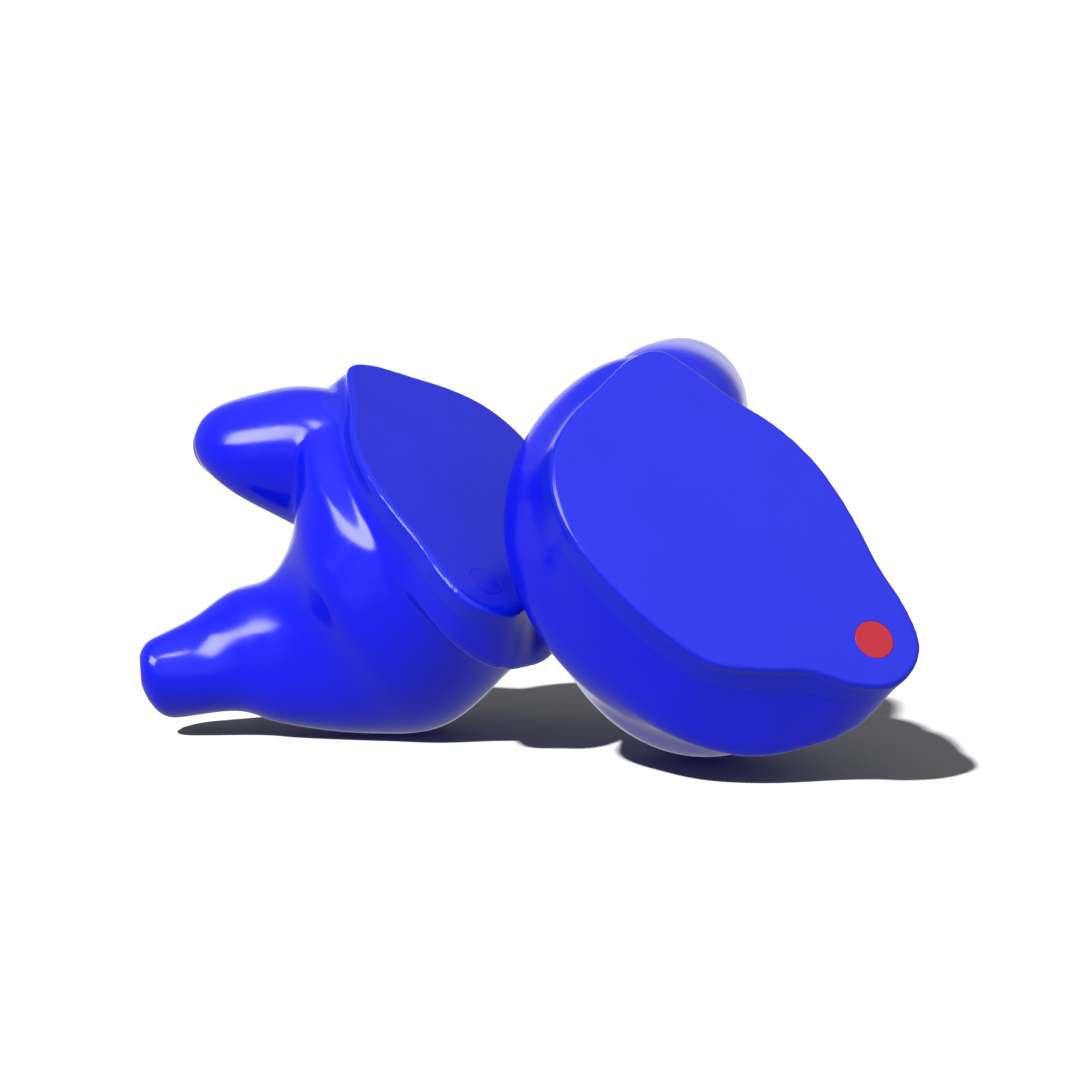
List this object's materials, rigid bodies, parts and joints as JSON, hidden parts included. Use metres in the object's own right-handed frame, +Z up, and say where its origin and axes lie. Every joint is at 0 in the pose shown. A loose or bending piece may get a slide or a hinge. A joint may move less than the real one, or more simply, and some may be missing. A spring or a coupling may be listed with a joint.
{
  "type": "in ear monitors",
  "caption": "Mirrored pair of custom-moulded in-ear monitors with gloss blue shells, flat faceplates, side dots, recessed cable sockets and drivers inside.",
  "frame": {"origin": "on the table, under the middle of the pair's bounding box", "axes": "+X from the left monitor to the right monitor, +Y away from the viewer, +Z up"},
  "size_m": [0.0496, 0.0334, 0.0272],
  "materials": {
    "shell_acrylic": "lacquered gloss",
    "faceplate_acrylic": "lacquered gloss",
    "red_marker": "gloss",
    "blue_marker": "gloss",
    "socket_plastic": "moulded satin",
    "gold_contact": "gold plated",
    "driver_steel": "drawn and plated",
    "spout_brass": "turned",
    "coil_copper": "enamelled winding",
    "magnet": "nickel plated",
    "diaphragm_foil": "thin film",
    "tube_plastic": "clear tube",
    "damper_mesh": "fine mesh",
    "board_laminate": "solder mask",
    "capacitor_ceramic": "fired",
    "resistor_body": "moulded",
    "wire_enamel": "enamelled wire"
  },
  "bodies": {
    "left_monitor": {"left_shell": "shell_acrylic", "left_faceplate": "faceplate_acrylic", "left_side_marker": "blue_marker", "left_cable_socket": "socket_plastic", "left_socket_contact_a": "gold_contact", "left_socket_contact_b": "gold_contact", "left_bass_driver_case": "driver_steel", "left_bass_driver_cover": "driver_steel", "left_bass_driver_spout": "spout_brass", "left_bass_driver_coil": "coil_copper", "left_bass_driver_yoke": "driver_steel", "left_bass_driver_lower_magnet": "magnet", "left_bass_driver_upper_magnet": "magnet", "left_bass_driver_reed": "driver_steel", "left_bass_driver_drive_pin": "spout_brass", "left_bass_driver_diaphragm": "diaphragm_foil", "left_mid_driver_case": "driver_steel", "left_mid_driver_cover": "driver_steel", "left_treble_driver_case": "driver_steel", "left_treble_driver_cover": "driver_steel", "left_mid_treble_spout": "spout_brass", "left_bass_sound_tube": "tube_plastic", "left_mid_treble_sound_tube": "tube_plastic", "left_bass_damper": "damper_mesh", "left_mid_treble_damper": "damper_mesh", "left_crossover_board": "board_laminate", "left_crossover_capacitor": "capacitor_ceramic", "left_crossover_resistor": "resistor_body", "left_supply_wire_a": "wire_enamel", "left_supply_wire_b": "wire_enamel"},
    "right_monitor": {"right_shell": "shell_acrylic", "right_faceplate": "faceplate_acrylic", "right_side_marker": "red_marker", "right_cable_socket": "socket_plastic", "right_socket_contact_a": "gold_contact", "right_socket_contact_b": "gold_contact", "right_bass_driver_case": "driver_steel", "right_bass_driver_cover": "driver_steel", "right_bass_driver_spout": "spout_brass", "right_bass_driver_coil": "coil_copper", "right_bass_driver_yoke": "driver_steel", "right_bass_driver_lower_magnet": "magnet", "right_bass_driver_upper_magnet": "magnet", "right_bass_driver_reed": "driver_steel", "right_bass_driver_drive_pin": "spout_brass", "right_bass_driver_diaphragm": "diaphragm_foil", "right_mid_driver_case": "driver_steel", "right_mid_driver_cover": "driver_steel", "right_treble_driver_case": "driver_steel", "right_treble_driver_cover": "driver_steel", "right_mid_treble_spout": "spout_brass", "right_bass_sound_tube": "tube_plastic", "right_mid_treble_sound_tube": "tube_plastic", "right_bass_damper": "damper_mesh", "right_mid_treble_damper": "damper_mesh", "right_crossover_board": "board_laminate", "right_crossover_capacitor": "capacitor_ceramic", "right_crossover_resistor": "resistor_body", "right_supply_wire_a": "wire_enamel", "right_supply_wire_b": "wire_enamel"}
  },
  "joints": [
    {"name": "right_monitor_lift", "type": "slide", "parent": "left_monitor", "child": "right_monitor", "axis": [0, 0, 1], "range_m": [0, 0.06]}
  ]
}
